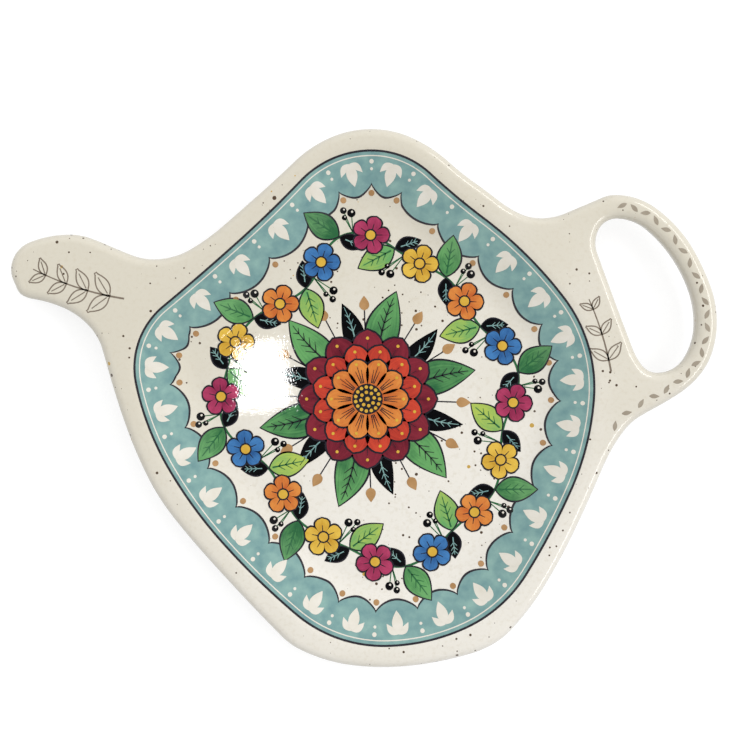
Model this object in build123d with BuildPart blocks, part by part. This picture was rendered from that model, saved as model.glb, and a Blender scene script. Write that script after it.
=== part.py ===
"""Teapot-shaped tea bag rest: a shallow moulded dish under a printed foil and a clear glaze."""

from build123d import *
from math import cos, radians, sin, sqrt, tan
import os

# Overall sizes in millimetres: the outline below spans 160 x 122
rim_height = 10.0
plate_underside = 4.0
foot_height = 2.0

# Layers on the face, from the outside in
glaze_thickness = 0.15
foil_thickness = 0.15
face_thickness = glaze_thickness + foil_thickness

# Rolled edge of the plate, spout and handle
edge_radius = 2.2
under_edge_radius = 1.8
equator_height = rim_height - edge_radius
collar_span = 200.0
match_gap = 0.01

# Shallow well for the tea bag
well_depth = 5.0
wall_slope = 22.0
crest_radius = 6.0
floor_radius = 12.0

# Bowl under the plate and the ring that it stands on
wall_thickness = 3.0
bowl_blend_radius = 3.0
base_edge_radius = 6.0
foot_inset = 1.2
foot_width = 3.0
foot_edge_radius = 0.6

# Outline of the glazed face, anticlockwise from the top of the lid: x, y and heading in degrees
outline = [
    (1.7, 61.0, 180),
    (-15.8, 53.6, 224),
    (-32.0, 39.0, 221),
    (-47.6, 31.5, 180),
    (-57.1, 34.3, 156),
    (-66.6, 37.1, 180),
    (-80.0, 29.0, 270),
    (-78.6, 24.6, 293),
    (-75.2, 22.4, 351),
    (-62.2, 16.1, 312),
    (-57.5, 4.6, 286),
    (-49.4, -17.2, 296),
    (-35.4, -36.3, 312),
    (-18.6, -54.1, 315),
    (-10.0, -58.9, 341),
    (4.3, -61.0, 360),
    (24.0, -58.0, 376),
    (33.4, -52.5, 407),
    (41.3, -42.0, 419),
    (53.9, -16.3, 427),
    (59.3, -7.0, 411),
    (66.1, -2.2, 388),
    (75.8, 4.8, 409),
    (80.0, 17.2, 450),
    (75.0, 33.1, 479),
    (66.4, 42.9, 503),
    (56.9, 46.1, 540),
    (51.0, 44.2, 563),
    (40.1, 40.8, 540),
    (30.8, 44.6, 502),
    (19.3, 53.5, 498),
]

# Finger hole of the handle
finger_hole = [
    (57.3, 40.6, 180),
    (52.9, 32.8, 290),
    (61.0, 11.0, 291),
    (66.4, 5.8, 360),
    (74.9, 17.0, 450),
    (69.6, 32.2, 485),
]

# Crest of the well, where the flat land of the rim would meet the sloping wall
well_crest = [
    (1.7, 56.5, 180),
    (-28.7, 35.9, 222),
    (-52.0, 3.0, 282),
    (-32.1, -33.3, 312),
    (4.3, -56.5, 360),
    (37.1, -40.1, 418),
    (52.5, 0.0, 446),
    (27.5, 41.0, 503),
]


def draw_span(start, end):
    """Join two stations by two arcs that leave and arrive on their headings and meet on one tangent."""
    first = Vector(start[0], start[1])
    last = Vector(end[0], end[1])
    leave = Vector(cos(radians(start[2])), sin(radians(start[2])))
    arrive = Vector(cos(radians(end[2])), sin(radians(end[2])))
    chord = last - first
    along = chord.dot(leave + arrive)
    turn = 2 * (1 - leave.dot(arrive))
    reach = (sqrt(along**2 + turn * chord.dot(chord)) - along) / turn
    meet = (first + last + (leave - arrive) * reach) * 0.5
    arc = TangentArc(first, meet, tangent=leave)
    TangentArc(meet, last, tangent=arc % 1)


def draw_loop(stations):
    """Draw a closed smooth line through all the stations."""
    for start, end in zip(stations, stations[1:] + stations[:1]):
        draw_span(start, end)


def plate_form(inset, underside):
    """The teapot-shaped plate with its rolled edges, every surface the inset deep below the glazed face."""
    with BuildPart() as plate:
        with BuildSketch(Plane.XY.offset(underside)):
            with BuildLine():
                draw_loop(outline)
            make_face()
            with BuildLine():
                draw_loop(finger_hole)
            make_face(mode=Mode.SUBTRACT)
            offset(amount=-inset)
        extrude(amount=rim_height - inset - underside)
        fillet(plate.faces().sort_by(Axis.Z)[-1].inner_wires()[0].edges(), edge_radius - inset)
        fillet(plate.faces().sort_by(Axis.Z)[-1].outer_wire().edges(), edge_radius - inset)
    return plate.part


def well_form(inset):
    """The space of the well, with the sweep from its wall into its floor."""
    with BuildPart() as well:
        with BuildSketch(Plane.XY.offset(rim_height - inset)):
            with BuildLine():
                draw_loop(well_crest)
            make_face()
            offset(amount=inset * tan(radians(wall_slope / 2)))
        extrude(amount=-well_depth, taper=90 - wall_slope)
        fillet(well.faces().sort_by(Axis.Z)[0].edges(), floor_radius + inset)
    return well.part


def crest_edges(form):
    """Edges of the land's longest inner loop, which is the crest of the well."""
    return form.faces().sort_by(Axis.Z)[-1].inner_wires().sort_by(SortBy.LENGTH)[-1].edges()


def under_face(form):
    """The flat underside of the plate, around the bowl."""
    flats = form.faces().filter_by(Plane.XY)
    return flats.filter_by_position(Axis.Z, plate_underside - match_gap, plate_underside + match_gap)[0]


def face_form(inset):
    """The plate and its well as one block down to the table, the inset deep below the glazed face."""
    with BuildPart() as face:
        add(plate_form(inset, 0))
        add(well_form(inset), mode=Mode.SUBTRACT)
        fillet(crest_edges(face), crest_radius - inset)
    return face.part


def collar_form():
    """Everything below the rolled edge's widest line, outside the crest of the well."""
    with BuildPart() as collar:
        with BuildSketch():
            Rectangle(collar_span, collar_span)
            with BuildLine():
                draw_loop(well_crest)
            make_face(mode=Mode.SUBTRACT)
        extrude(amount=equator_height)
    return collar.part


# Underside of the bowl, parallel to the well's wall, measured inwards from the crest of the well
slope_run = 1 / tan(radians(wall_slope))
under_drop = wall_thickness / cos(radians(wall_slope))
bowl_root_inset = (rim_height - under_drop - plate_underside) * slope_run
base_inset = (rim_height - under_drop - foot_height) * slope_run

# Melamine dish: plate, spout, handle loop, bowl and foot in one moulding
with BuildPart() as dish_moulding:
    with BuildSketch(Plane.XY.offset(plate_underside)):
        with BuildLine():
            draw_loop(well_crest)
        make_face()
        offset(amount=-bowl_root_inset)
    extrude(amount=foot_height - plate_underside, taper=90 - wall_slope)
    fillet(dish_moulding.faces().sort_by(Axis.Z)[0].edges(), base_edge_radius)
    add(plate_form(face_thickness, plate_underside))
    fillet(under_face(dish_moulding).inner_wires().sort_by(SortBy.LENGTH)[-1].edges(), bowl_blend_radius)
    fillet(under_face(dish_moulding).inner_wires().sort_by(SortBy.LENGTH)[0].edges(), under_edge_radius)
    fillet(under_face(dish_moulding).outer_wire().edges(), under_edge_radius)
    add(well_form(face_thickness), mode=Mode.SUBTRACT)
    fillet(crest_edges(dish_moulding), crest_radius - face_thickness)
    with BuildSketch(Plane.XY.offset(foot_height)):
        with BuildLine():
            draw_loop(well_crest)
        make_face()
        offset(amount=-base_inset - foot_inset)
        offset(amount=-foot_width, mode=Mode.SUBTRACT)
    extrude(amount=-foot_height)
    fillet(dish_moulding.faces().sort_by(Axis.Z)[0].edges(), foot_edge_radius)
dish_moulding.part.label = "dish_moulding"

# Printed foil, pressed into the face from edge to edge
with BuildPart() as decor_foil:
    add(face_form(glaze_thickness))
    add(face_form(face_thickness), mode=Mode.SUBTRACT)
    add(collar_form(), mode=Mode.SUBTRACT)
decor_foil.part.label = "decor_foil"

# Clear glaze over the foil
with BuildPart() as clear_glaze:
    add(face_form(0))
    add(face_form(glaze_thickness), mode=Mode.SUBTRACT)
    add(collar_form(), mode=Mode.SUBTRACT)
clear_glaze.part.label = "clear_glaze"

os.makedirs("parts", exist_ok=True)
export_step(dish_moulding.part, "parts/dish_moulding.step")
export_step(decor_foil.part, "parts/decor_foil.step")
export_step(clear_glaze.part, "parts/clear_glaze.step")
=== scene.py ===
"""Teapot-shaped tea bag rest: a melamine dish with a printed, glazed face, on a plain white stage."""

from math import cos, pi, radians, sin, tan

import bpy
import numpy as np
from mathutils.geometry import delaunay_2d_cdt
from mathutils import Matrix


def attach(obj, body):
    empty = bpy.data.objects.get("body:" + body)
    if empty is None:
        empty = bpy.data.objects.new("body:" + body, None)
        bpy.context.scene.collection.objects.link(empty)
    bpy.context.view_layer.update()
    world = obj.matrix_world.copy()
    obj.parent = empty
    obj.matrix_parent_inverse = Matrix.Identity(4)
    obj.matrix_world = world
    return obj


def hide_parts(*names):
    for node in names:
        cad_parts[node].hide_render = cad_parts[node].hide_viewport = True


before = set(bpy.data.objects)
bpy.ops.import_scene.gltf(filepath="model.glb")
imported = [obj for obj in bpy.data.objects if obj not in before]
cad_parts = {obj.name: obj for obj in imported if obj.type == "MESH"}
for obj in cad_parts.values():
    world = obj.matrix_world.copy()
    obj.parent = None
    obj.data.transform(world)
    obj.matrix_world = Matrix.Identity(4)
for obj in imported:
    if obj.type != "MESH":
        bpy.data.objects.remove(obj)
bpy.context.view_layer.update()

bl_info = {
    "name": "Tea Bag Rest",
    "version": (1, 0, 0),
    "blender": (4, 5, 0),
    "location": "View3D > Sidebar > Tea Rest",
    "description": "Builds a teapot-shaped melamine tea bag rest with a floral print under a clear glaze",
    "category": "Object",
}

MM = 0.001

# Outline of the glazed face in millimetres, anticlockwise from the top of the lid: x, y, heading in degrees
OUTLINE = [
    (1.7, 61.0, 180), (-15.8, 53.6, 224), (-32.0, 39.0, 221), (-47.6, 31.5, 180), (-57.1, 34.3, 156),
    (-66.6, 37.1, 180), (-80.0, 29.0, 270), (-78.6, 24.6, 293), (-75.2, 22.4, 351), (-62.2, 16.1, 312),
    (-57.5, 4.6, 286), (-49.4, -17.2, 296), (-35.4, -36.3, 312), (-18.6, -54.1, 315), (-10.0, -58.9, 341),
    (4.3, -61.0, 360), (24.0, -58.0, 376), (33.4, -52.5, 407), (41.3, -42.0, 419), (53.9, -16.3, 427),
    (59.3, -7.0, 411), (66.1, -2.2, 388), (75.8, 4.8, 409), (80.0, 17.2, 450), (75.0, 33.1, 479),
    (66.4, 42.9, 503), (56.9, 46.1, 540), (51.0, 44.2, 563), (40.1, 40.8, 540), (30.8, 44.6, 502),
    (19.3, 53.5, 498),
]
FINGER_HOLE = [
    (57.3, 40.6, 180), (52.9, 32.8, 290), (61.0, 11.0, 291), (66.4, 5.8, 360), (74.9, 17.0, 450),
    (69.6, 32.2, 485),
]
WELL_CREST = [
    (1.7, 56.5, 180), (-28.7, 35.9, 222), (-52.0, 3.0, 282), (-32.1, -33.3, 312), (4.3, -56.5, 360),
    (37.1, -40.1, 418), (52.5, 0.0, 446), (27.5, 41.0, 503),
]

# Line on the well's floor that the vine swings about
VINE_LINE = [
    (1.5, 37.2, 180), (-17.5, 23.0, 222), (-33.0, 2.5, 275), (-19.5, -21.0, 312), (4.0, -37.6, 360),
    (22.8, -29.6, 412), (34.2, 0.5, 447), (17.2, 26.9, 503),
]

# Depths below the glazed face, steps between printed layers and the print's margin, in millimetres
GROUND_DEPTH = 0.06
FOIL_BACK = 0.3
LAYER_STEP = 0.02
FILM_DEPTH = 0.05
EDGE_MARGIN = 0.2

# Half width of a leaf or petal at its blunt ends, in millimetres
TIP_HALF = 0.05

# Points round each closed line, and steps along the parts of the profiles
OUTLINE_STEPS = 720
HOLE_STEPS = 160
CREST_STEPS = 480
EDGE_STEPS = 10
OVER_STEPS = 6
WALL_STEPS = 6
SWEEP_STEPS = 12
UNDER_STEPS = 8
BLEND_STEPS = 5
BASE_STEPS = 7
FOOT_STEPS = 4

# Overlap of neighbouring arcs in millimetres, and points that are measured against them at a time
ARC_SLACK = 0.01
MEASURED_AT_ONCE = 20000

# Share of the rolled edge's radius that print may reach out over, short of where the edge is upright
ROUND_LIMIT = 0.999

# Kind of triangulation that leaves holes open, and the gap at which its points merge
INSIDE_WITH_HOLES = 2
MERGE_GAP = 1e-7

# Corners sharper than this stay hard
SHARP_ANGLE = radians(40)

# Moulded skin: height of the peel in metres, and how many times higher the waves are
PEEL_HEIGHT = 8e-6
WAVES_TO_PEEL = 8.0

# Typical index of refraction of melamine
MELAMINE_IOR = 1.66

# Middle of the palest wash, where a pool of light is painted, in metres
PAINTED_LIGHT_CENTRE = (0.016, -0.028, 0.006)

# Places of the two colours among the inputs of a Mix node
COLOUR_A, COLOUR_B = 6, 7

# Half the side of the floor, in metres
FLOOR_HALF = 1.5


def linear(code):
    """Linear RGB of an sRGB hex code."""
    srgb = np.array([int(code[i:i + 2], 16) for i in (1, 3, 5)]) / 255
    return tuple(np.where(srgb <= 0.04045, srgb / 12.92, ((srgb + 0.055) / 1.055) ** 2.4).tolist())


def hue(name, description, code):
    """A colour property whose default is an sRGB hex code."""
    return bpy.props.FloatVectorProperty(
        name=name, description=description, default=linear(code), size=3, min=0, max=1, subtype="COLOR")


def amount(name, description, default, **kind):
    """A number property, with its unit, subtype or limit."""
    return bpy.props.FloatProperty(name=name, description=description, default=default, **kind)


def measure(name, description, millimetres):
    """A length property whose default is given in millimetres."""
    return amount(name, description, millimetres * MM, unit="LENGTH")


def compass(degrees):
    """Unit vectors along headings in degrees, anticlockwise from +X."""
    angle = np.radians(degrees)
    return np.stack([np.cos(angle), np.sin(angle)], axis=-1)


def headings(vectors):
    """Headings of plan vectors in degrees, anticlockwise from +X."""
    return np.degrees(np.arctan2(vectors[:, 1], vectors[:, 0]))


def left_of(vectors):
    """Plan vectors after a quarter turn anticlockwise."""
    return np.stack([-vectors[..., 1], vectors[..., 0]], axis=-1)


class ArcLine:
    """A closed line of tangent arcs through stations of x, y and heading.

    Between two stations lie two arcs: the first leaves on the one heading, the second arrives on the other,
    and they share a tangent where they meet, at equal reach from both stations."""

    def __init__(self, stations):
        here = np.array(stations, float)
        there = np.roll(here, -1, axis=0)
        leave, arrive = compass(here[:, 2]), compass(there[:, 2])
        chord = there[:, :2] - here[:, :2]
        along = (chord * (leave + arrive)).sum(1)
        turn = 2 * (1 - (leave * arrive).sum(1))
        reach = (np.sqrt(along**2 + turn * (chord**2).sum(1)) - along) / turn
        meet = (here[:, :2] + there[:, :2] + reach[:, None] * (leave - arrive)) / 2
        first = meet - here[:, :2]
        onward = 2 * ((leave * first).sum(1) / (first**2).sum(1))[:, None] * first - leave
        self.start = np.stack([here[:, :2], meet], axis=1).reshape(-1, 2)
        heading = np.stack([leave, onward], axis=1).reshape(-1, 2)
        span = np.roll(self.start, -1, axis=0) - self.start
        half = np.arctan2(heading[:, 0] * span[:, 1] - heading[:, 1] * span[:, 0], (heading * span).sum(1))
        size = np.linalg.norm(span, axis=1)
        self.angle = np.arctan2(heading[:, 1], heading[:, 0])
        self.bend = 2 * np.sin(half) / size
        self.length = size / np.sinc(half / pi)
        self.end = np.cumsum(self.length)

    def at(self, share):
        """Points at shares of the whole length, and the outward normal at each."""
        way = np.mod(share, 1) * self.end[-1]
        arc = np.minimum(np.searchsorted(self.end, way, side="right"), len(self.end) - 1)
        along = way - (self.end - self.length)[arc]
        half = self.bend[arc] * along / 2
        middle = self.angle[arc] + half
        chord = along * np.sinc(half / pi)
        point = self.start[arc] + chord[..., None] * np.stack([np.cos(middle), np.sin(middle)], axis=-1)
        heading = middle + half
        return point, np.stack([np.sin(heading), -np.cos(heading)], axis=-1)

    def walk(self, count):
        """Points at even steps round the line, and the outward normal at each."""
        return self.at(np.arange(count) / count)

    def depth(self, points):
        """Signed distance inside the line, and the direction in which it grows.

        Each arc that faces the point gives radius less distance to its centre, and the nearest one counts."""
        side = np.sign(self.bend)
        inward = np.stack([-np.sin(self.angle), np.cos(self.angle)], axis=1)
        centre = self.start + inward / self.bend[:, None]
        radius = 1 / abs(self.bend)
        slack = ARC_SLACK / radius
        first = np.arctan2(*(self.start - centre).T[::-1])
        depths, inwards = [], []
        for part in np.array_split(points, max(1, len(points) // MEASURED_AT_ONCE)):
            spoke = part[:, None] - centre
            distance = np.linalg.norm(spoke, axis=2)
            turned = np.mod(side * (np.arctan2(spoke[..., 1], spoke[..., 0]) - first) + slack, 2 * pi)
            facing = turned <= self.length / radius + 2 * slack
            gap = np.where(facing, side * (radius - distance), np.inf)
            nearest = abs(gap).argmin(1)
            row = np.arange(len(part))
            depths.append(gap[row, nearest])
            inwards.append(-(side[nearest] / distance[row, nearest])[:, None] * spoke[row, nearest])
        return np.concatenate(depths), np.concatenate(inwards)


class DishForm:
    """The dish in millimetres: profiles carried along its outline, its finger hole and its well's crest."""

    def __init__(self, sizes):
        self.outline, self.hole, self.crest = ArcLine(OUTLINE), ArcLine(FINGER_HOLE), ArcLine(WELL_CREST)
        self.rim, self.edge = sizes.rim_height / MM, sizes.edge_radius / MM
        self.under, self.under_edge = sizes.plate_underside / MM, sizes.under_edge_radius / MM
        self.slope, self.depth = sizes.wall_slope, sizes.well_depth / MM
        self.crest_round, self.floor_round = sizes.crest_radius / MM, sizes.floor_radius / MM
        self.wall, self.blend = sizes.wall_thickness / MM, sizes.bowl_blend_radius / MM
        self.base_round, self.foot = sizes.base_edge_radius / MM, sizes.foot_height / MM
        self.foot_inset, self.foot_width = sizes.foot_inset / MM, sizes.foot_width / MM
        self.foot_round = sizes.foot_edge_radius / MM
        self.crest_start = -self.crest_round * tan(self.slope / 2)
        self.wall_start = self.crest_start + self.crest_round * sin(self.slope)
        self.floor_end = self.depth / tan(self.slope) + self.floor_round * tan(self.slope / 2)
        self.wall_end = self.floor_end - self.floor_round * sin(self.slope)
        if self.wall_end < self.wall_start:
            raise ValueError("The well is too shallow for the rounds of its crest and floor")

    def rolled_edge(self, inset):
        """Quarter round from the widest line up to the land: distance inside the outline, and height."""
        a = np.linspace(0, pi / 2, EDGE_STEPS + 1)
        radius = self.edge - inset
        return self.edge - radius * np.cos(a), self.rim - self.edge + radius * np.sin(a)

    def well_profile(self, inset):
        """Convex arc over the crest, straight wall, concave arc into the floor: distance inside, height."""
        a = np.linspace(0, self.slope, OVER_STEPS + 1)
        b = np.linspace(self.slope, 0, SWEEP_STEPS + 1)
        over, sweep = self.crest_round - inset, self.floor_round + inset
        inside = np.concatenate([self.crest_start + over * np.sin(a), self.floor_end - sweep * np.sin(b)])
        height = np.concatenate([
            self.rim - self.crest_round + over * np.cos(a),
            self.rim - self.depth + self.floor_round - sweep * np.cos(b),
        ])
        wall = np.linspace(0, 1, WALL_STEPS + 1)[1:-1]
        at = len(a)
        inside = np.insert(inside, at, inside[at - 1] + wall * (inside[at] - inside[at - 1]))
        return inside, np.insert(height, at, height[at - 1] + wall * (height[at] - height[at - 1]))

    def under_profile(self):
        """Straight wall below the widest line, then a quarter round into the plate's underside."""
        a = np.linspace(0, pi / 2, UNDER_STEPS + 1)
        inside = FOIL_BACK + self.under_edge * (1 - np.cos(a))
        return inside, self.under + self.under_edge * (1 - np.sin(a))

    def bowl_profile(self):
        """Blend under the plate, bowl, round base edge and foot ring: distance inside the crest, height."""
        slope = self.slope
        drop = self.rim - self.wall / cos(slope)
        root, base = (drop - self.under) / tan(slope), (drop - self.foot) / tan(slope)
        blend_from = root - self.blend * tan(slope / 2)
        base_to = base + self.base_round * tan(slope / 2)
        foot_from = base + self.foot_inset
        foot_to = foot_from + self.foot_width
        a = np.linspace(0, slope, BLEND_STEPS + 1)
        b = np.linspace(slope, 0, BASE_STEPS + 1)
        c = np.linspace(0, pi / 2, FOOT_STEPS + 1)
        inside = np.concatenate([
            blend_from + self.blend * np.sin(a),
            base_to - self.base_round * np.sin(b),
            [foot_from],
            foot_from + self.foot_round * (1 - np.cos(c)),
            foot_to - self.foot_round * (1 - np.sin(c)),
            [foot_to],
        ])
        height = np.concatenate([
            self.under - self.blend * (1 - np.cos(a)),
            self.foot + self.base_round * (1 - np.cos(b)),
            [self.foot],
            self.foot_round * (1 - np.sin(c)),
            self.foot_round * (1 - np.cos(c)),
            [self.foot],
        ])
        return inside, height

    def on_face(self, plan, rise):
        """Points of the glazed face over plan points, lifted by rise along the normal, and the normals.

        The height is the rim's, less the quarter round near an edge, less the well's drop: over the crest,
        down the wall and into the floor. The normal comes from the same profile's slope."""
        flat = plan.reshape(-1, 2)
        outer, outer_in = self.outline.depth(flat)
        hole, hole_in = self.hole.depth(flat)
        by_hole = -hole < outer
        edge = np.where(by_hole, -hole, outer)
        edge_in = np.where(by_hole[:, None], -hole_in, outer_in)
        if edge.min() < EDGE_MARGIN:
            raise ValueError("A printed shape runs over the edge of the face")
        well, well_in = self.crest.depth(flat)
        below = np.clip(self.edge - edge, 0, ROUND_LIMIT * self.edge)
        edge_root = np.sqrt(self.edge**2 - below**2)
        over = np.clip(well, self.crest_start, self.wall_start) - self.crest_start
        over_root = np.sqrt(self.crest_round**2 - over**2)
        down = np.clip(well, self.wall_start, self.wall_end) - self.wall_start
        left = self.floor_end - np.clip(well, self.wall_end, self.floor_end)
        left_root = np.sqrt(self.floor_round**2 - left**2)
        height = self.rim - self.edge + edge_root - self.crest_round + over_root - down * tan(self.slope)
        height -= left_root - self.floor_round * cos(self.slope)
        fall = over / over_root - tan(self.slope) + left / left_root
        lean = -(below / edge_root)[:, None] * edge_in + fall[:, None] * well_in
        normal = np.column_stack([lean, np.ones(len(flat))])
        normal /= np.linalg.norm(normal, axis=1)[:, None]
        return np.column_stack([flat, height]) + rise * normal, normal


class Surface:
    """Points and faces gathered for one piece, in millimetres."""

    def __init__(self):
        self.points, self.faces, self.total = [], [], 0

    def add(self, points):
        """Keep points and return their numbers."""
        self.points.append(points)
        self.total += len(points)
        return np.arange(self.total - len(points), self.total)

    def loops(self, line, count, profile):
        """A profile of distances inside and heights, carried round a closed line: a loop of numbers each."""
        point, outward = line.walk(count)
        return [self.add(np.column_stack([point - inside * outward, np.full(count, height)]))
                for inside, height in zip(*profile)]

    def band(self, near, far, flip=False):
        """Quads between two closed loops, facing up when the far one lies to the left, down when flipped."""
        if flip:
            near, far = far, near
        self.faces += np.column_stack([near, np.roll(near, -1), np.roll(far, -1), far]).tolist()

    def bands(self, loops, flip=False):
        """Quads through a whole row of loops."""
        for near, far in zip(loops, loops[1:]):
            self.band(near, far, flip)

    def fill(self, loops, flip=False):
        """Flat triangles inside the first loop and outside the others."""
        numbers = np.concatenate(loops)
        plan = np.concatenate(self.points)[numbers, :2]
        counts = [len(loop) for loop in loops]
        edges = []
        for count, end in zip(counts, np.cumsum(counts)):
            around = np.arange(end - count, end)
            edges += np.column_stack([around, np.roll(around, -1)]).tolist()
        outside = list(range(counts[0]))
        made = delaunay_2d_cdt(plan.tolist(), edges, [outside], INSIDE_WITH_HOLES, MERGE_GAP)
        source = np.array([numbers[origin[0]] for origin in made[3]])
        triangles = source[np.array(made[2])]
        self.faces += (triangles[:, ::-1] if flip else triangles).tolist()

    def face_skin(self, form, inset, flip=False):
        """The whole face at one depth: rolled edges, land, well and floor. Returns the two lowest loops."""
        inside, height = form.rolled_edge(inset)
        outer = self.loops(form.outline, OUTLINE_STEPS, (inside, height))
        inner = self.loops(form.hole, HOLE_STEPS, (-inside, height))
        well = self.loops(form.crest, CREST_STEPS, form.well_profile(inset))
        self.bands(outer, flip)
        self.bands(inner, not flip)
        self.bands(well, flip)
        self.fill([outer[-1], inner[-1], well[0]], flip)
        self.fill([well[-1]], flip)
        return outer[0], inner[0]

    def piece(self, name, material, slot, replaces):
        """Make the mesh object, smooth but for its sharp corners, put it on the dish's body and hide the CAD
        nodes it takes the place of.
        """
        mesh = bpy.data.meshes.new(name)
        mesh.from_pydata((np.concatenate(self.points) * MM).tolist(), [], self.faces)
        mesh.validate()
        mesh.shade_smooth()
        mesh.set_sharp_from_angle(angle=SHARP_ANGLE)
        piece = ride_piece(name, mesh, material)
        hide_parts(*replaces)


def ride_piece(name, mesh, material):
    """Put a finished mesh into the scene on the dish's body."""
    mesh.materials.append(material)
    piece = bpy.data.objects.new(name, mesh)
    bpy.context.scene.collection.objects.link(piece)
    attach(piece, "root")
    return piece


class PrintedFilm:
    """Ink films of one colour: copies of plan grids laid on the face as thin closed sheets."""

    def __init__(self, form):
        self.form = form
        self.points, self.normals, self.uv, self.tone, self.faces, self.total = [], [], [], [], [], 0

    def lay(self, grids, layer, ring=False, tone=0.5):
        """Lay grids of shape copies, rows, columns, 2. A ring closes its rows on themselves.

        The top lies the layer's height over the ground, the underside a fixed depth under it, in the foil."""
        copies, rows, columns = grids.shape[:3]
        top, normal = self.form.on_face(grids, layer * LAYER_STEP - GROUND_DEPTH)
        sunk = len(top)
        number = np.arange(sunk).reshape(copies, rows, columns) + self.total
        winding = np.cross(np.gradient(grids, axis=1), np.gradient(grids, axis=2)).mean()
        if ring:
            number = np.concatenate([number, number[:, :1]], axis=1)
        if winding < 0:
            number = number[:, :, ::-1]
        corners = [number[:, :-1, :-1], number[:, 1:, :-1], number[:, 1:, 1:], number[:, :-1, 1:]]
        face = np.stack(corners, axis=-1).reshape(-1, 4)
        if ring:
            walls = [number[:, :, 0], number[:, ::-1, -1]]
        else:
            border = [number[:, :, 0], number[:, -1, 1:], number[:, -2::-1, -1], number[:, 0, -2::-1]]
            walls = [np.concatenate(border, axis=1)]
        sides = [np.stack([w[:, :-1], w[:, :-1] + sunk, w[:, 1:] + sunk, w[:, 1:]], axis=-1).reshape(-1, 4)
                 for w in walls]
        self.faces += np.concatenate([face, face[:, ::-1] + sunk] + sides).tolist()
        self.points += [top, top - (FILM_DEPTH + layer * LAYER_STEP) * normal]
        self.normals += [normal, normal]
        u, v = np.meshgrid(np.linspace(0, 1, rows), np.linspace(0, 1, columns), indexing="ij")
        plan = np.tile(np.stack([u, v], axis=-1).reshape(-1, 2), (copies, 1))
        self.uv += [plan, plan]
        shade = np.repeat(np.broadcast_to(tone, copies), rows * columns)
        self.tone += [shade, shade]
        self.total += 2 * sunk

    def stamp(self, shape, at, layer, turn=0.0, tone=0.5):
        """Lay copies of a plan shape at points, turned by degrees."""
        self.lay(place(shape, at, turn), layer, tone=tone)

    def draw(self, path, at, layer, turn, widths, scale=1.0, closed=False):
        """Lay copies of a plan path as ribbons, whose width runs evenly from the first to the last."""
        paths = place(path, at, turn, scale)[:, :, 0]
        self.lay(ribbon(paths, np.linspace(*widths, len(path)), closed), layer, ring=closed)

    def piece(self, name, *ink, streaks=False):
        """Make the mesh object, with the face's own normals, so the gloss runs on across every print edge."""
        mesh = bpy.data.meshes.new(name)
        mesh.from_pydata((np.concatenate(self.points) * MM).tolist(), [], self.faces)
        mesh.shade_smooth()
        corner = np.empty(len(mesh.loops), int)
        mesh.loops.foreach_get("vertex_index", corner)
        uv = mesh.uv_layers.new(name="UVMap")
        uv.data.foreach_set("uv", np.concatenate(self.uv)[corner].ravel())
        tone = mesh.attributes.new("tone", "FLOAT", "POINT")
        tone.data.foreach_set("value", np.concatenate(self.tone))
        mesh.normals_split_custom_set_from_vertices(np.concatenate(self.normals).tolist())
        ride_piece(name, mesh, printed_ink(*ink, streaks=streaks))


def leaf(length, half_width, bend=0.0, rows=24, columns=9, belly=0.85, fullness=0.9):
    """Leaf along +X from its base, bowed as a parabola, its half width a sine of a power of the length.

    A belly below 1 brings the widest place to the base, above 1 to the tip. A lower power of the sine,
    which is called fullness here, gives rounder ends."""
    u, v = np.meshgrid(np.linspace(0, 1, rows), np.linspace(-1, 1, columns), indexing="ij")
    width = np.maximum(half_width * np.sin(pi * u**belly) ** fullness, TIP_HALF)
    return np.stack([length * u, bend * length * u * (1 - u) * 4 + v * width], axis=-1)


def petal(length, half_width, rows=14):
    """Petal along +X from its base: a leaf that is broad near a round tip."""
    return leaf(length, half_width, rows=rows, belly=1.7, fullness=0.55)


def spine(start, end, steps, length=1.0, bend=0.0):
    """Path along the middle of a leaf between two shares of its length, bowed as the leaf is."""
    u = np.linspace(start, end, steps)
    return np.stack([length * u, bend * length * u * (1 - u) * 4], axis=-1)[:, None]


def disc(radius, steps=9):
    """Disc: a square grid drawn in to a circle, each axis by the root of one less half the other's square."""
    a, b = np.meshgrid(np.linspace(-1, 1, steps), np.linspace(-1, 1, steps), indexing="ij")
    return radius * np.stack([a * np.sqrt(1 - b**2 / 2), b * np.sqrt(1 - a**2 / 2)], axis=-1)


def place(shape, at, turn=0.0, scale=1.0):
    """Copies of a plan grid, scaled, turned by degrees and moved to points."""
    at = np.atleast_2d(at)
    turn = np.broadcast_to(turn, len(at))
    x, y = compass(turn), compass(np.add(turn, 90))
    scale = np.broadcast_to(scale, len(at))[:, None, None, None]
    moved = shape[None, ..., :1] * x[:, None, None] + shape[None, ..., 1:] * y[:, None, None]
    return at[:, None, None] + scale * moved


def ribbon(paths, width, closed=False):
    """Ribbons along plan paths of shape copies, points, 2: each point moved half the width to either side."""
    if closed:
        run = np.roll(paths, -1, axis=1) - np.roll(paths, 1, axis=1)
    else:
        run = np.gradient(paths, axis=1)
    run /= np.linalg.norm(run, axis=2)[..., None]
    across = np.linspace(-0.5, 0.5, 3)[None, None, :, None]
    width = np.broadcast_to(width, paths.shape[:2])[..., None, None]
    return paths[:, :, None] + across * width * left_of(run)[:, :, None]


def add_node(tree, kind, inputs=None, **settings):
    """Add a shader node, set its properties and fill its inputs.

    An input takes a value, another node's socket, or a node, which stands for its first socket in use."""
    made = tree.nodes.new(kind)
    for name, value in settings.items():
        setattr(made, name, value)
    for name, value in (inputs or {}).items():
        socket = made.inputs[name]
        if isinstance(value, bpy.types.Node):
            value = next(output for output in value.outputs if output.enabled)
        if isinstance(value, bpy.types.NodeSocket):
            tree.links.new(value, socket)
        elif socket.type == "RGBA":
            socket.default_value = (*value, 1)
        else:
            socket.default_value = value
    return made


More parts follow.
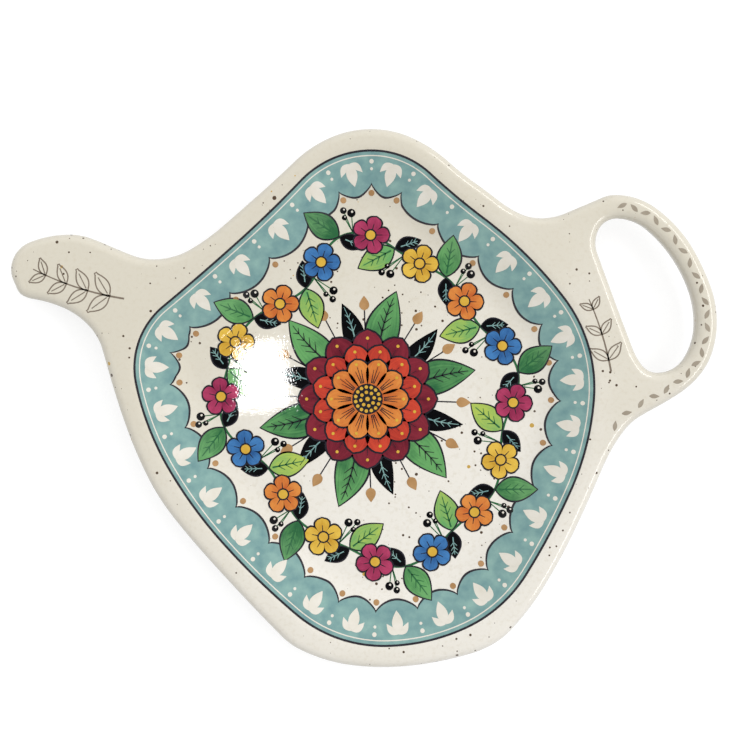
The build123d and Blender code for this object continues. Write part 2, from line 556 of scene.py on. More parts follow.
def new_material(name):
    """An empty node material and its tree."""
    material = bpy.data.materials.new(name)
    material.use_nodes = True
    material.node_tree.nodes.clear()
    return material, material.node_tree


def seen_ray(tree):
    """1 for a ray from the lens or one that gloss or glass sends on, 0 for light that falls on the dish."""
    path = add_node(tree, "ShaderNodeLightPath")
    seen = path.outputs["Is Camera Ray"]
    for kind in ("Is Glossy Ray", "Is Transmission Ray"):
        seen = add_node(tree, "ShaderNodeMath", {0: seen, 1: path.outputs[kind]}, operation="MAXIMUM")
    return seen


def mould_skin(tree, place_in):
    """Skin that a polished mould leaves: shallow waves 14 mm long and a fine peel of 0.35 mm, as a normal."""
    wave = add_node(tree, "ShaderNodeTexNoise", {"Vector": place_in, "Scale": 1 / (14 * MM), "Detail": 1.0})
    peel = add_node(tree, "ShaderNodeTexNoise", {"Vector": place_in, "Scale": 1 / (0.35 * MM), "Detail": 0.0})
    height = add_node(tree, "ShaderNodeMath", {0: wave, 1: WAVES_TO_PEEL, 2: peel}, operation="MULTIPLY_ADD")
    return add_node(tree, "ShaderNodeBump", {"Height": height, "Strength": 1.0, "Distance": PEEL_HEIGHT})


def moulded_melamine(colours, equator):
    """Moulded melamine: a dense cream body, faintly cloudy, with a soft polish from the mould.

    The flash that the two halves of the mould leave at the widest line is ground off and buffed, and the foot
    is rubbed by the table, so both are duller, and the foot is a shade darker where it is scuffed."""
    material, tree = new_material("Moulded melamine, polished")
    place_in = add_node(tree, "ShaderNodeTexCoord").outputs["Object"]
    rise = add_node(tree, "ShaderNodeSeparateXYZ", {"Vector": place_in}).outputs["Z"]
    cloud = add_node(tree, "ShaderNodeTexNoise", {"Vector": place_in, "Scale": 1 / (6 * MM), "Detail": 3.0})
    grit = add_node(tree, "ShaderNodeTexNoise", {"Vector": place_in, "Scale": 1 / (1.2 * MM), "Detail": 4.0})
    flash = add_node(tree, "ShaderNodeMapRange", {
        "Value": rise, "From Min": equator - 0.6 * MM, "From Max": equator - 0.3 * MM})
    rub = add_node(tree, "ShaderNodeMapRange", {
        "Value": rise, "From Min": 0.1 * MM, "From Max": 0.6 * MM, "To Min": 1.0, "To Max": 0.0})
    scuff = add_node(tree, "ShaderNodeMath", {0: rub, 1: grit}, operation="MULTIPLY")
    dull = add_node(tree, "ShaderNodeMath", {0: flash, 1: rub}, operation="MAXIMUM")
    rough = add_node(tree, "ShaderNodeMapRange", {"Value": dull, "To Min": 0.22, "To Max": 0.46})
    colour = add_node(tree, "ShaderNodeMix", data_type="RGBA", inputs={
        0: cloud, COLOUR_A: colours.melamine_dark, COLOUR_B: colours.melamine})
    colour = add_node(tree, "ShaderNodeMix", data_type="RGBA", inputs={
        0: scuff, COLOUR_A: colour, COLOUR_B: colours.melamine_scuff})
    shader = add_node(tree, "ShaderNodeBsdfPrincipled", {
        "Base Color": colour, "Roughness": rough, "IOR": MELAMINE_IOR, "Normal": mould_skin(tree, place_in)})
    add_node(tree, "ShaderNodeOutputMaterial", {"Surface": shader})
    return material


def glaze_over(tree, colour, place_in):
    """Dull print under a clear melamine glaze: the gloss is the coat's, and it is the same on every ink."""
    skin = mould_skin(tree, place_in)
    shader = add_node(tree, "ShaderNodeBsdfPrincipled", {
        "Base Color": colour, "Roughness": 0.6, "Specular IOR Level": 0.0, "Coat Weight": 1.0,
        "Coat Roughness": 0.03, "Coat IOR": MELAMINE_IOR, "Normal": skin, "Coat Normal": skin})
    add_node(tree, "ShaderNodeOutputMaterial", {"Surface": shader})


def printed_ground(colours):
    """Printed foil's cream wash, cloudy and spattered with two inks, paler towards a point below the middle
    at the right: a painted pool of light.
    """
    material, tree = new_material("Printed melamine foil, cream wash under glaze")
    place_in = add_node(tree, "ShaderNodeTexCoord").outputs["Object"]
    cloud = add_node(tree, "ShaderNodeTexNoise", {"Vector": place_in, "Scale": 1 / (18 * MM), "Detail": 5.0})
    # Painted pool of light: the cream runs from pale near that point to plain cream further off
    reach = add_node(tree, "ShaderNodeVectorMath", {0: place_in, 1: PAINTED_LIGHT_CENTRE}, operation="DISTANCE")
    away = add_node(tree, "ShaderNodeMath", {0: cloud, 1: 40 * MM, 2: reach}, operation="MULTIPLY_ADD")
    wash = add_node(tree, "ShaderNodeMapRange", interpolation_type="SMOOTHSTEP", inputs={
        "Value": away, "From Min": 36 * MM, "From Max": 100 * MM})
    fibre = add_node(tree, "ShaderNodeTexNoise", {"Vector": place_in, "Scale": 1 / (0.9 * MM), "Detail": 3.0})
    grain = add_node(tree, "ShaderNodeMapRange", {
        "Value": fibre, "From Min": 0.5, "From Max": 0.8, "To Max": 0.35})
    flick = add_node(tree, "ShaderNodeTexNoise", {"Vector": place_in, "Scale": 1 / (24 * MM), "Detail": 1.0})
    clump = add_node(tree, "ShaderNodeMapRange", {
        "Value": flick, "From Min": 0.40, "From Max": 0.66, "To Min": 0.3, "To Max": 1.35})
    colour = add_node(tree, "ShaderNodeMix", data_type="RGBA", inputs={
        0: wash, COLOUR_A: colours.pale_cream_and_painted_light, COLOUR_B: colours.cream})
    colour = add_node(tree, "ShaderNodeMix", data_type="RGBA", inputs={
        0: grain, COLOUR_A: colour, COLOUR_B: colours.cream_grain})
    # Spacing of the spots in millimetres, the largest one's radius as a share of it, and the ink
    spatter = (
        (1.5, 0.21, colours.spatter_brown),
        (4.8, 0.09, colours.spatter_mustard),
        (10.0, 0.06, colours.spatter_brown),
    )
    for spacing, largest, ink in spatter:
        cells = add_node(tree, "ShaderNodeTexVoronoi", {"Vector": place_in, "Scale": 1 / (spacing * MM)})
        chance = add_node(tree, "ShaderNodeSeparateColor", {"Color": cells.outputs["Color"]})
        size = add_node(tree, "ShaderNodeMath", {0: chance, 1: 2.0}, operation="POWER")
        size = add_node(tree, "ShaderNodeMath", {0: size, 1: largest}, operation="MULTIPLY")
        size = add_node(tree, "ShaderNodeMath", {0: size, 1: clump}, operation="MULTIPLY")
        spot = add_node(tree, "ShaderNodeMath", {0: cells, 1: size}, operation="LESS_THAN")
        colour = add_node(tree, "ShaderNodeMix", {0: spot, COLOUR_A: colour, COLOUR_B: ink}, data_type="RGBA")
    glaze_over(tree, colour, place_in)
    return material


def printed_ink(name, dark, light, streaks=False):
    """Printed ink: two shades clouded like gouache, shifted per copy, streaked along petals and leaves."""
    material, tree = new_material(f"Printed melamine foil, {name} ink under glaze")
    place_in = add_node(tree, "ShaderNodeTexCoord").outputs["Object"]
    cloud = add_node(tree, "ShaderNodeTexNoise", {"Vector": place_in, "Scale": 1 / (2.8 * MM), "Detail": 5.0})
    tone = add_node(tree, "ShaderNodeAttribute", attribute_name="tone").outputs["Fac"]
    shade = add_node(tree, "ShaderNodeMath", {0: cloud, 1: tone}, operation="ADD")
    if streaks:
        # Brush streaks as shares of a petal or leaf: long from base to tip, narrow across
        plan = add_node(tree, "ShaderNodeUVMap", uv_map="UVMap")
        stretch = add_node(tree, "ShaderNodeMapping", {"Vector": plan, "Scale": (1.6, 14.0, 1.0)})
        brush = add_node(tree, "ShaderNodeTexNoise", {"Vector": stretch, "Scale": 1.0, "Detail": 3.0})
        along = add_node(tree, "ShaderNodeSeparateXYZ", {"Vector": plan}).outputs["X"]
        paint = add_node(tree, "ShaderNodeMath", {0: along, 1: 0.55, 2: brush}, operation="MULTIPLY_ADD")
        paint = add_node(tree, "ShaderNodeMath", {0: paint, 1: 0.75}, operation="SUBTRACT")
        shade = add_node(tree, "ShaderNodeMath", {0: shade, 1: paint}, operation="ADD")
    wash = add_node(tree, "ShaderNodeMapRange", {"Value": shade, "From Min": 0.6, "From Max": 1.4})
    colour = add_node(tree, "ShaderNodeMix", {0: wash, COLOUR_A: dark, COLOUR_B: light}, data_type="RGBA")
    glaze_over(tree, colour, place_in)
    return material


class TeaRestSizes(bpy.types.PropertyGroup):
    """Sizes of the dish, the same as the solid's."""

    rim_height: measure("Rim height", "Table to the land of the rim", 10)
    edge_radius: measure("Edge radius", "Rolled edge of plate, spout and handle", 2.2)
    plate_underside: measure("Plate underside", "Table to the underside of the plate", 4)
    under_edge_radius: measure("Under edge radius", "Round under the plate's edge", 1.8)
    well_depth: measure("Well depth", "Land down to the well's floor", 5)
    wall_slope: amount("Wall slope", "Slope of the well's wall", radians(22), subtype="ANGLE")
    crest_radius: measure("Crest radius", "Round from the land into the wall", 6)
    floor_radius: measure("Floor radius", "Sweep from the wall into the floor", 12)
    wall_thickness: measure("Wall thickness", "Thickness of the bowl", 3)
    bowl_blend_radius: measure("Bowl blend", "Hollow round between plate and bowl", 3)
    base_edge_radius: measure("Base edge radius", "Round from the bowl into its base", 6)
    foot_height: measure("Foot height", "Height of the foot ring", 2)
    foot_inset: measure("Foot inset", "Base edge to the foot ring", 1.2)
    foot_width: measure("Foot width", "Width of the foot ring", 3)
    foot_edge_radius: measure("Foot edge radius", "Round on the foot ring", 0.6)


class TeaRestColours(bpy.types.PropertyGroup):
    """Colours of the moulding and of the printed inks, each ink with the shade that clouds it."""

    melamine: hue("Melamine", "Body of the dish", "#F1EDE3")
    melamine_dark: hue("Melamine shade", "Cloud in the body", "#E6E1D4")
    melamine_scuff: hue("Melamine scuff", "Rubbed foot", "#BDB6A6")
    cream: hue("Cream", "Wash near the edge and band drops", "#DED8C8")
    # Pale cream paints the pool of light on the wash, and is the light shade of the printed drops and berry
    # shine
    pale_cream_and_painted_light: hue("Pale cream", "Palest part of the wash", "#EFEBE2")
    cream_grain: hue("Wash grain", "Fine grain of the wash", "#D0C6B0")
    spatter_brown: hue("Brown spatter", "Fine spots", "#5A4A3C")
    spatter_mustard: hue("Mustard spatter", "Sparse spots", "#C9A455")
    line: hue("Ink line", "Outlines", "#1F1E24")
    line_worn: hue("Ink line, worn", "Where the outline is thin", "#34323B")
    pencil: hue("Pencil", "Sprigs on spout and handle", "#94887A")
    pencil_dark: hue("Pencil, pressed", "Darker strokes", "#776B5E")
    loop_leaf: hue("Loop leaves", "Small leaves on the handle", "#B4AA9A")
    loop_leaf_dark: hue("Loop leaves, pressed", "Cloud in the small leaves", "#958A7A")
    teal: hue("Teal", "Scalloped band", "#9BC0B6")
    teal_dark: hue("Dark teal", "Cloud in the band", "#5F8990")
    green: hue("Green", "Leaves", "#6CAA68")
    green_dark: hue("Dark green", "Leaf bases, stem and ribs", "#336A44")
    lime: hue("Lime", "Young leaves", "#B2C85E")
    black: hue("Black", "Berries and dark leaves", "#08080A")
    black_worn: hue("Black, worn", "Cloud in the black", "#151518")
    maroon: hue("Maroon", "Outer petals", "#872F3C")
    maroon_dark: hue("Dark maroon", "Bases of the outer petals", "#561A28")
    red: hue("Red", "Middle petals", "#D04C38")
    red_dark: hue("Dark red", "Bases of the middle petals", "#962C2C")
    orange: hue("Orange", "Inner petals and small flowers", "#E29148")
    orange_dark: hue("Dark orange", "Bases of the orange petals", "#C15C30")
    yellow: hue("Yellow", "Flower hearts and small flowers", "#E8C153")
    yellow_dark: hue("Dark yellow", "Bases of the yellow petals", "#C79633")
    magenta: hue("Magenta", "Small flowers", "#B8456A")
    magenta_dark: hue("Dark magenta", "Bases of the magenta petals", "#842848")
    blue: hue("Blue", "Small flowers", "#4A83BE")
    blue_dark: hue("Dark blue", "Bases of the blue petals", "#2C558C")
    tan: hue("Tan", "Buds and beads", "#C99F70")
    tan_dark: hue("Dark tan", "Shaded side of the buds", "#9E7547")


class TeaRestStage(bpy.types.PropertyGroup):
    """Light and camera of the stage."""

    floor_colour: hue("Floor", "Colour of the paper floor", "#ACACAC")
    floor_lift: amount("Floor lift", "White added where the lens or gloss sees the floor", 0.71, min=0)
    side_level: amount("Side level", "Even light from the sides of the room", 0.35, min=0)
    top_level: amount("Top level", "Soft light from above, behind the lid", 1.13, min=0)
    top_lean: amount("Top lean", "Lean of the light above towards the lid", radians(25), subtype="ANGLE")
    key_power: amount("Key", "Long softbox at the right", 20.0, unit="POWER")
    patch_power: amount("Patch", "Small gridded softbox over the left of the well", 0.000042, unit="POWER")
    camera_distance: measure("Camera distance", "Widest line of the dish to the lens", 300)
    frame_width: measure("Frame width", "Width of the picture at the widest line", 165.9)
    camera_x: measure("Camera X", "Lens over the dish", 0.45)
    camera_y: measure("Camera Y", "Lens over the dish", 7.25)


class TEAREST_OT_dish_body(bpy.types.Operator):
    """Build the moulded dish, from its foot to the back of the foil."""

    bl_idname = "tea_rest.dish_body"
    bl_label = "Dish Body"

    def execute(self, context):
        sizes = context.scene.tea_rest_sizes
        form = DishForm(sizes)
        body = Surface()
        outer, inner = body.face_skin(form, FOIL_BACK)
        inside, height = form.under_profile()
        under_outer = [outer] + body.loops(form.outline, OUTLINE_STEPS, (inside, height))
        under_inner = [inner] + body.loops(form.hole, HOLE_STEPS, (-inside, height))
        bowl = body.loops(form.crest, CREST_STEPS, form.bowl_profile())
        body.bands(under_outer, flip=True)
        body.bands(under_inner)
        body.bands(bowl, flip=True)
        body.fill([under_outer[-1], under_inner[-1], bowl[0]], flip=True)
        body.fill([bowl[-1]], flip=True)
        material = moulded_melamine(context.scene.tea_rest_colours, sizes.rim_height - sizes.edge_radius)
        body.piece("dish_body", material, "moulding", ["dish_moulding"])
        return {"FINISHED"}


class TEAREST_OT_printed_face(bpy.types.Operator):
    """Lay the printed and glazed foil over the face, from rolled edge to rolled edge."""

    bl_idname = "tea_rest.printed_face"
    bl_label = "Printed Face"

    def execute(self, context):
        form = DishForm(context.scene.tea_rest_sizes)
        foil = Surface()
        outer, inner = foil.face_skin(form, GROUND_DEPTH)
        outer_back, inner_back = foil.face_skin(form, FOIL_BACK, flip=True)
        foil.band(outer_back, outer)
        foil.band(inner, inner_back)
        material = printed_ground(context.scene.tea_rest_colours)
        foil.piece("printed_face", material, "foil", ["decor_foil", "clear_glaze"])
        return {"FINISHED"}


class TEAREST_OT_scalloped_band(bpy.types.Operator):
    """Print the teal scalloped band on the wall of the well, with its lines, drops and beads."""

    bl_idname = "tea_rest.scalloped_band"
    bl_label = "Scalloped Band"

    def execute(self, context):
        form, inks = DishForm(context.scene.tea_rest_sizes), context.scene.tea_rest_colours
        scallops, steps = 28, 1120
        outer_edge, valley, swell, line, lap = 0.9, 7.6, 2.6, 0.42, 0.05
        share = np.arange(steps) / steps
        point, outward = form.crest.at(share)
        near = np.full(steps, outer_edge)
        far = valley + swell * abs(np.sin(pi * scallops * share)) ** 0.7

        def strip(start, end, columns):
            """Grid between two distances inside the crest, all round."""
            inside = start[:, None] + (end - start)[:, None] * np.linspace(0, 1, columns)
            return (point[:, None] - inside[..., None] * outward[:, None])[None]

        band, lines, drops, beads = (PrintedFilm(form) for _ in range(4))
        band.lay(strip(near, far, 24), 1, ring=True)
        lines.lay(strip(near - line, near + lap, 3), 2, ring=True)
        lines.lay(strip(far - lap, far + line, 3), 2, ring=True)
        number = np.arange(scallops)
        middle, out = form.crest.at((number + 0.5) / scallops)
        joint, joint_out = form.crest.at(number / scallops)
        turn = headings(-out)
        drops.lay(strip(near + 0.75, near + 1.0, 3), 2, ring=True)
        for side in (46, -46):
            drops.stamp(leaf(3.4, 0.75, side / 400, rows=12), middle - 3.0 * out, 2, turn + side)
        drops.stamp(leaf(4.9, 1.25, rows=14), middle - 3.1 * out, 3, turn)
        drops.stamp(disc(0.5, 7), joint - 3.0 * joint_out, 2)
        drops.stamp(disc(0.34, 5), joint - 4.6 * joint_out, 2)
        beads.stamp(disc(0.68, 7), joint - (valley + 2.2) * joint_out, 2)
        band.piece("scalloped_band", "teal", inks.teal_dark, inks.teal)
        lines.piece("band_lines", "band line", inks.line, inks.line_worn)
        drops.piece("band_drops", "cream", inks.cream, inks.pale_cream_and_painted_light)
        beads.piece("band_beads", "tan", inks.tan_dark, inks.tan)
        return {"FINISHED"}


class TEAREST_OT_vine(bpy.types.Operator):
    """Print the running vine on the floor: stem, leaves, small flowers and berries."""

    bl_idname = "tea_rest.vine"
    bl_label = "Vine"

    def execute(self, context):
        form, inks = DishForm(context.scene.tea_rest_sizes), context.scene.tea_rest_colours
        waves, swing, stem_steps, petal_count = 8, 1.4, 800, 5
        nodes = 2 * waves
        path = ArcLine(VINE_LINE)

        def vine(share):
            """The vine swings about its line as a sine. Also gives the outward normal."""
            point, outward = path.at(share)
            return point + swing * np.sin(2 * pi * waves * share)[:, None] * outward, outward

        stem, edges, green, lime, dark, pale, shine, rims, hearts = (PrintedFilm(form) for _ in range(9))
        run = vine(np.arange(stem_steps) / stem_steps)[0]
        stem.lay(ribbon(run[None], 0.55, closed=True), 1, ring=True)

        # A long leaf and a short dark one at each swing of the vine, on either side by turns
        number = np.arange(nodes)
        side = np.where(number % 2 == 0, 1, -1)
        at, out = vine((number + 0.5) / nodes)
        heading = headings(left_of(out))
        turn, back = heading - side * 62, heading + side * 128
        base, dark_base = at + 0.35 * compass(turn), at + 0.25 * compass(back)
        edges.stamp(leaf(9.7, 3.0), at, 2, turn)
        edges.stamp(leaf(6.4, 1.9, rows=16), at, 2, back)
        tone = 0.3 + 0.2 * (number % 3)
        for film, own in ((green, number[::2]), (lime, number[1::2])):
            film.stamp(leaf(9.0, 2.6), base[own], 3, turn[own], tone[own])
        dark.stamp(leaf(5.9, 1.55, rows=16), dark_base, 3, back)
        pale.draw(spine(1.2, 5.2, 12), dark_base, 4, back, (0.26, 0.14))
        for start in (2.4, 3.4, 4.3):
            for lean in (42, -42):
                pale.draw(spine(0, 1.1, 5), dark_base + start * compass(back), 4.4, back + lean, (0.2, 0.12))

        # Groups of berries: how far each is off the stem and along it, and its radius
        berry_at, berry_out = vine((number + 0.28) / nodes)
        aside = np.where(side > 0, 0.84, -1.0)[:, None] * berry_out
        for away, ahead, radius in ((5.3, -0.9, 0.95), (6.5, 0.7, 0.75), (4.6, 0.9, 0.6)):
            berries = berry_at + away * aside + ahead * left_of(berry_out)
            stalks = berry_at[:, None] + np.linspace(0, 1, 8)[:, None] * (berries - berry_at)[:, None]
            stem.lay(ribbon(stalks, 0.24), 0.6)
            dark.stamp(disc(radius, 7), berries, 3)
            shine.stamp(disc(0.26 * radius, 5), berries + 0.36 * radius * compass(60), 4)
        stem.draw(spine(0.6, 7.8, 16), base, 4, turn, (0.4, 0.15))
        for start in (2.0, 3.6, 5.2):
            foot, size = base + start * compass(turn), 1 - 0.12 * abs(start - 3)
            for lean in (40, -40):
                stem.draw(spine(0, 2.0, 6), foot, 4, turn + lean, (0.24, 0.12), size)
        stem.piece("vine_stem", "stem", inks.green_dark, inks.green_dark)
        edges.piece("vine_outlines", "vine line", inks.line, inks.line_worn)
        green.piece("vine_leaves", "green", inks.green_dark, inks.green, streaks=True)
        lime.piece("vine_young_leaves", "lime", inks.green, inks.lime, streaks=True)
        dark.piece("vine_berries", "black", inks.black, inks.black_worn)
        pale.piece("vine_pale_ribs", "pale rib", inks.teal_dark, inks.teal)
        shine.piece("berry_shine", "berry shine", inks.cream, inks.pale_cream_and_painted_light)

        # Small flowers where the vine crosses its line, in four colours by turns
        bloom = vine(number / nodes)[0]
        kinds = (
            ("magenta", inks.magenta_dark, inks.magenta),
            ("blue", inks.blue_dark, inks.blue),
            ("orange", inks.orange_dark, inks.orange),
            ("yellow", inks.yellow_dark, inks.yellow),
        )
        for kind, (name, low, high) in enumerate(kinds):
            centre = np.repeat(bloom[kind::len(kinds)], petal_count, axis=0)
            count = np.arange(len(centre))
            turn = 360 / petal_count * (count % petal_count) + 23.0 * (count // petal_count)
            rims.stamp(petal(4.6, 2.0), centre, 5, turn)
            flowers = PrintedFilm(form)
            tone = 0.35 + 0.15 * (count % 3)
            flowers.stamp(petal(4.15, 1.62), centre + 0.12 * compass(turn), 6, turn, tone)
            flowers.piece(f"{name}_flowers", name, low, high, streaks=True)
            rims.draw(spine(1.2, 2.7, 5), centre, 7, turn, (0.28, 0.12))
        rims.stamp(disc(1.4, 7), bloom, 8)
        rims.piece("flower_outlines", "flower line", inks.line, inks.line_worn)
        hearts.stamp(disc(1.05, 7), bloom, 9)
        hearts.piece("flower_hearts", "heart", inks.yellow_dark, inks.yellow)
        return {"FINISHED"}


class TEAREST_OT_centre_flower(bpy.types.Operator):
    """Print the large layered flower in the middle of the floor, with its leaves and buds."""

    bl_idname = "tea_rest.centre_flower"
    bl_label = "Centre Flower"

    def execute(self, context):
        form, inks = DishForm(context.scene.tea_rest_sizes), context.scene.tea_rest_colours
        heart = np.array([0.8, -0.3])
        edges, seeds, leaves, dark, pale, buds = (PrintedFilm(form) for _ in range(6))

        # Rounds of petals: colour, number, length, half width, first heading, layer and two shades
        rounds = (
            ("maroon", 12, 14.4, 3.6, 0, 4, inks.maroon_dark, inks.maroon),
            ("red", 12, 11.2, 2.85, 15, 7, inks.red_dark, inks.red),
            ("orange", 10, 7.9, 2.35, 0, 10, inks.orange_dark, inks.orange),
        )
        for name, count, length, half_width, first, layer, low, high in rounds:
            number = np.arange(count)
            turns = first + 360 / count * number
            at = heart + 1.4 * compass(turns)
            edges.stamp(petal(length + 0.42, half_width + 0.38, 20), at, layer, turns)
            petals = PrintedFilm(form)
            petals.stamp(petal(length, half_width, 20), at, layer + 1, turns, 0.4 + 0.2 * (number % 2))
            petals.piece(f"centre_{name}_petals", f"centre {name}", low, high, streaks=True)
            for lean in (-9, 0, 9):
                stroke = spine(0.30, 0.80 - 0.012 * abs(lean), 14, length)
                edges.draw(stroke, at, layer + 2, turns + lean * 0.8, (0.26, 0.10))
            seeds.stamp(disc(0.36, 5), at + 0.87 * length * compass(turns), layer + 2)
        edges.stamp(disc(3.5), heart, 13)
        for radius, first, count in ((2.75, 0, 15), (1.55, 10, 8)):
            seeds.stamp(disc(0.4, 5), heart + radius * compass(first + 360 / count * np.arange(count)), 14)
        seeds.stamp(disc(0.5, 5), heart, 14)

        # Long leaves, and between them dark leaves and pairs of buds
        number = np.arange(6)
        turns = 15 + 60.0 * number
        between = turns + 30
        at, dark_at = heart + 9.0 * compass(turns), heart + 9.0 * compass(between)
        edges.stamp(leaf(17.0, 4.1, 0.05), heart + 8.6 * compass(turns), 1, turns)
        leaves.stamp(leaf(16.2, 3.65, 0.05), at, 2, turns, 0.3 + 0.2 * (number % 3))
        edges.draw(spine(0.25, 0.92, 20, 16.2, 0.05), at, 3, turns, (0.42, 0.15))
        for share in (0.42, 0.54, 0.66, 0.78):
            foot = at + 16.2 * share * compass(turns) + 3.24 * share * (1 - share) * compass(turns + 90)
            for lean in (38, -38):
                edges.draw(spine(0, 3.0, 8), foot, 3, turns + lean, (0.26, 0.12), 1.25 - share)
        dark.stamp(leaf(13.6, 2.5, -0.06), dark_at, 2, between)
        pale.draw(spine(0.3, 0.93, 18, 13.6, -0.06), dark_at, 3, between, (0.32, 0.14))
        for share in (0.5, 0.62, 0.74):
            bow = -3.26 * share * (1 - share)
            foot = dark_at + 13.6 * share * compass(between) + bow * compass(between + 90)
            for lean in (36, -36):
                pale.draw(spine(0, 2.2, 6), foot, 3.4, between + lean, (0.22, 0.12), 1.25 - share)
        for lean in (13, -13):
            turn = between + lean
            edges.draw(spine(14.0, 20.6, 12), np.tile(heart, (len(turn), 1)), 1, turn, (0.3, 0.3))
            buds.stamp(leaf(3.3, 1.15, rows=12, belly=0.7), heart + 20.3 * compass(turn), 2, turn)
        pale.piece("centre_pale_ribs", "centre pale rib", inks.teal_dark, inks.teal)
        leaves.piece("centre_leaves", "leaf", inks.green_dark, inks.green, streaks=True)
        dark.piece("centre_dark_leaves", "dark leaf", inks.black, inks.black_worn)
        buds.piece("centre_buds", "bud", inks.tan_dark, inks.tan)
        edges.piece("centre_outlines", "centre line", inks.line, inks.line_worn)
        seeds.piece("seed_dots", "seed", inks.yellow_dark, inks.yellow)
        return {"FINISHED"}


class TEAREST_OT_pencil_sprigs(bpy.types.Operator):
    """Print fine pencil sprigs on the spout and the handle's root, and small leaves along the loop."""

    bl_idname = "tea_rest.pencil_sprigs"
    bl_label = "Pencil Sprigs"

    def execute(self, context):
        form, inks = DishForm(context.scene.tea_rest_sizes), context.scene.tea_rest_colours
        pencil, leaves = PrintedFilm(form), PrintedFilm(form)
        blade = leaf(1.0, 0.24, rows=18)
        rim = np.concatenate([blade[:, 0], blade[::-1, -1]])[:, None]

        def sprig(start, turn, length, pairs, curl):
            """A curved stem, its side swing a parabola, with pairs of outlined leaves along it."""
            pencil.draw(spine(0, 1, 40, length, curl / 4), start, 1, turn, (0.45, 0.25))
            knots = spine(0.16, 0.86, pairs, length, curl / 4)
            share = knots[:, 0, 0] / length
            at = place(knots, start, turn)[0, :, 0]
            lean = turn + np.degrees(np.arctan(curl * (1 - 2 * share)))
            size = 0.30 * length * (1 - 0.45 * share)
            for side in (48, -48):
                pencil.draw(rim, at, 1, lean + side, (0.3, 0.3), size, closed=True)
                pencil.draw(spine(0.1, 0.8, 8), at, 2, lean + side, (0.22, 0.22), size)

        sprig((-54.0, 22.4), 162, 21.5, 4, 0.16)
        sprig((55.6, 6.0), 107, 17.0, 3, -0.12)
        pencil.piece("pencil_sprigs", "pencil", inks.pencil_dark, inks.pencil)

        # Evenly spaced places on the outline, of which those on the loop count
        point, outward = form.outline.walk(134)
        loop = point[:, 0] > 58
        point, outward = point[loop], outward[loop]
        swing = np.where(np.arange(len(point)) % 2 == 0, 30, -30)
        small = leaf(2.3, 0.5, rows=10, columns=5) - (1.15, 0)
        leaves.stamp(small, point - 2.7 * outward, 1, headings(left_of(outward)) + swing)
        leaves.piece("loop_leaves", "loop leaf", inks.loop_leaf_dark, inks.loop_leaf)
        return {"FINISHED"}


def lay_floor(scene):
    """Floor of white studio paper: it takes the dish's shadow, and the lens and the gloss see it lifted."""
    light = scene.tea_rest_stage
    half = FLOOR_HALF
    mesh = bpy.data.meshes.new("floor")
    corners = [(-half, -half, 0), (half, -half, 0), (half, half, 0), (-half, half, 0)]
    mesh.from_pydata(corners, [], [(0, 1, 2, 3)])
    floor = bpy.data.objects.new("floor", mesh)
    scene.collection.objects.link(floor)
    material, tree = new_material("White studio paper")
    paper = add_node(tree, "ShaderNodeBsdfDiffuse", {"Color": light.floor_colour})
    lift = add_node(tree, "ShaderNodeEmission", {"Color": (1, 1, 1), "Strength": light.floor_lift})
    both = add_node(tree, "ShaderNodeAddShader", {0: paper, 1: lift})
    mix = add_node(tree, "ShaderNodeMixShader", {0: seen_ray(tree), 1: paper, 2: both})
    add_node(tree, "ShaderNodeOutputMaterial", {"Surface": mix})
    mesh.materials.append(material)


def light_room(scene):
    """World: soft light from above on the dish, and for lens and gloss a white that dims overhead."""
    light = scene.tea_rest_stage
    world = bpy.data.worlds.new("Studio")
    scene.world = world
    world.use_nodes = True
    tree = world.node_tree
    tree.nodes.clear()
    way = add_node(tree, "ShaderNodeTexCoord").outputs["Generated"]
    rise = add_node(tree, "ShaderNodeSeparateXYZ", {"Vector": way}).outputs["Z"]
    dark = add_node(tree, "ShaderNodeMath", {0: rise, 1: 2.0}, operation="POWER", use_clamp=True)
    seen = add_node(tree, "ShaderNodeMath", {0: 1.0, 1: dark}, operation="SUBTRACT")
    overhead = (0, sin(light.top_lean), cos(light.top_lean))
    above = add_node(tree, "ShaderNodeVectorMath", {0: way, 1: overhead}, operation="DOT_PRODUCT")
    room = add_node(tree, "ShaderNodeMapRange", {
        "Value": above, "To Min": light.side_level, "To Max": light.top_level})
    level = add_node(tree, "ShaderNodeMix", data_type="FLOAT", inputs={
        "Factor": seen_ray(tree), "A": room, "B": seen})
    sky = add_node(tree, "ShaderNodeBackground", {"Color": (1, 1, 1), "Strength": level})
    add_node(tree, "ShaderNodeOutputWorld", {"Surface": sky})


def hang_softboxes(scene):
    """Area lamps, each tilted off straight down and swung round until it points at its target."""
    light = scene.tea_rest_stage
    # Place, target and size in metres, spread in degrees, and power
    boxes = (
        ("key_softbox", (1.45, 0.25, 1.40), (0, 0, 0), (3.5, 0.42), 180, light.key_power),
        ("patch_softbox", (-0.0292, 0.0045, 0.085), (-0.023, 0.0051, 0.005), (0.0176, 0.0143), 8,
         light.patch_power),
    )
    for name, at, target, size, spread, power in boxes:
        lamp = bpy.data.lights.new(name, "AREA")
        lamp.shape = "RECTANGLE"
        lamp.size, lamp.size_y = size
        lamp.energy = power
        lamp.spread = radians(spread)
        stand = bpy.data.objects.new(name, lamp)
        stand.location = at
        x, y, z = np.subtract(target, at)
        stand.rotation_euler = (np.arctan2(np.hypot(x, y), -z), 0, np.arctan2(y, x) - pi / 2)
        scene.collection.objects.link(stand)


def set_camera(scene):
    """Camera that looks straight down, with the lens that fits the frame's width at the widest line."""
    sizes, light = scene.tea_rest_sizes, scene.tea_rest_stage
    camera = bpy.data.cameras.new("camera")
    camera.lens = camera.sensor_width * light.camera_distance / light.frame_width
    camera.clip_start = 10 * MM
    view = bpy.data.objects.new("camera", camera)
    height = sizes.rim_height - sizes.edge_radius + light.camera_distance
    view.location = (light.camera_x, light.camera_y, height)
    scene.collection.objects.link(view)
    scene.camera = view


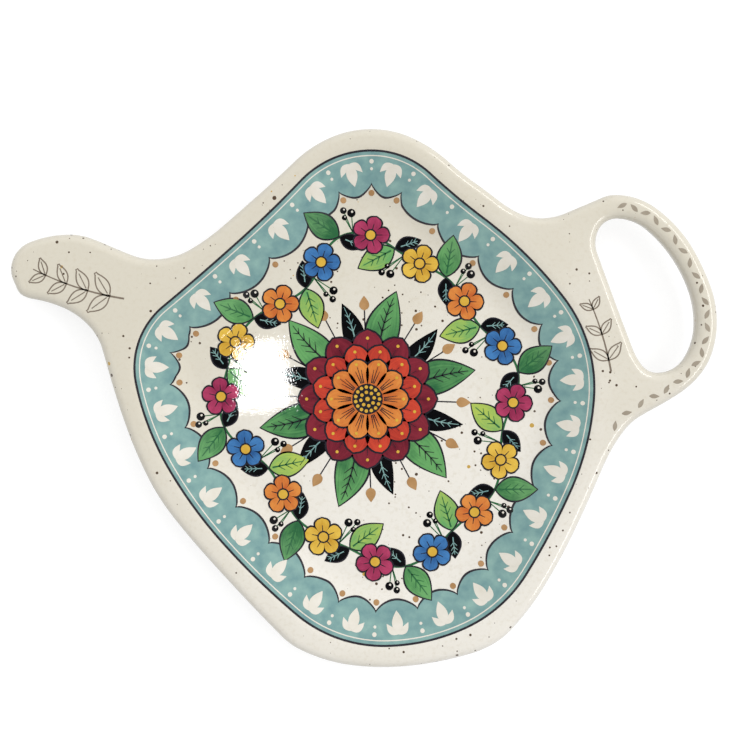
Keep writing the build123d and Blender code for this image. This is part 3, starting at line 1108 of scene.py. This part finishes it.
class TEAREST_OT_stage(bpy.types.Operator):
    """Set the white floor, the soft lights and the camera that looks straight down."""

    bl_idname = "tea_rest.stage"
    bl_label = "Stage"

    def execute(self, context):
        scene = context.scene
        scene.view_settings.view_transform = "Standard"
        lay_floor(scene)
        light_room(scene)
        hang_softboxes(scene)
        set_camera(scene)
        return {"FINISHED"}


class TEAREST_PT_panel(bpy.types.Panel):
    """Lists the dish's operators in the sidebar."""

    bl_label = "Tea Bag Rest"
    bl_idname = "TEAREST_PT_panel"
    bl_space_type = "VIEW_3D"
    bl_region_type = "UI"
    bl_category = "Tea Rest"

    def draw(self, context):
        scene = context.scene
        for operator in OPERATORS:
            self.layout.operator(operator.bl_idname)
        for group in (scene.tea_rest_sizes, scene.tea_rest_colours, scene.tea_rest_stage):
            for name in group.__annotations__:
                self.layout.prop(group, name)


OPERATORS = (
    TEAREST_OT_dish_body,
    TEAREST_OT_printed_face,
    TEAREST_OT_scalloped_band,
    TEAREST_OT_vine,
    TEAREST_OT_centre_flower,
    TEAREST_OT_pencil_sprigs,
    TEAREST_OT_stage,
)
CLASSES = (TeaRestSizes, TeaRestColours, TeaRestStage, *OPERATORS, TEAREST_PT_panel)


def register():
    for item in CLASSES:
        bpy.utils.register_class(item)
    bpy.types.Scene.tea_rest_sizes = bpy.props.PointerProperty(type=TeaRestSizes)
    bpy.types.Scene.tea_rest_colours = bpy.props.PointerProperty(type=TeaRestColours)
    bpy.types.Scene.tea_rest_stage = bpy.props.PointerProperty(type=TeaRestStage)


def unregister():
    del bpy.types.Scene.tea_rest_sizes
    del bpy.types.Scene.tea_rest_colours
    del bpy.types.Scene.tea_rest_stage
    for item in reversed(CLASSES):
        bpy.utils.unregister_class(item)


def main():
    register()
    bpy.ops.tea_rest.dish_body()
    bpy.ops.tea_rest.printed_face()
    bpy.ops.tea_rest.scalloped_band()
    bpy.ops.tea_rest.vine()
    bpy.ops.tea_rest.centre_flower()
    bpy.ops.tea_rest.pencil_sprigs()
    bpy.ops.tea_rest.stage()


if __name__ == "__main__":
    main()
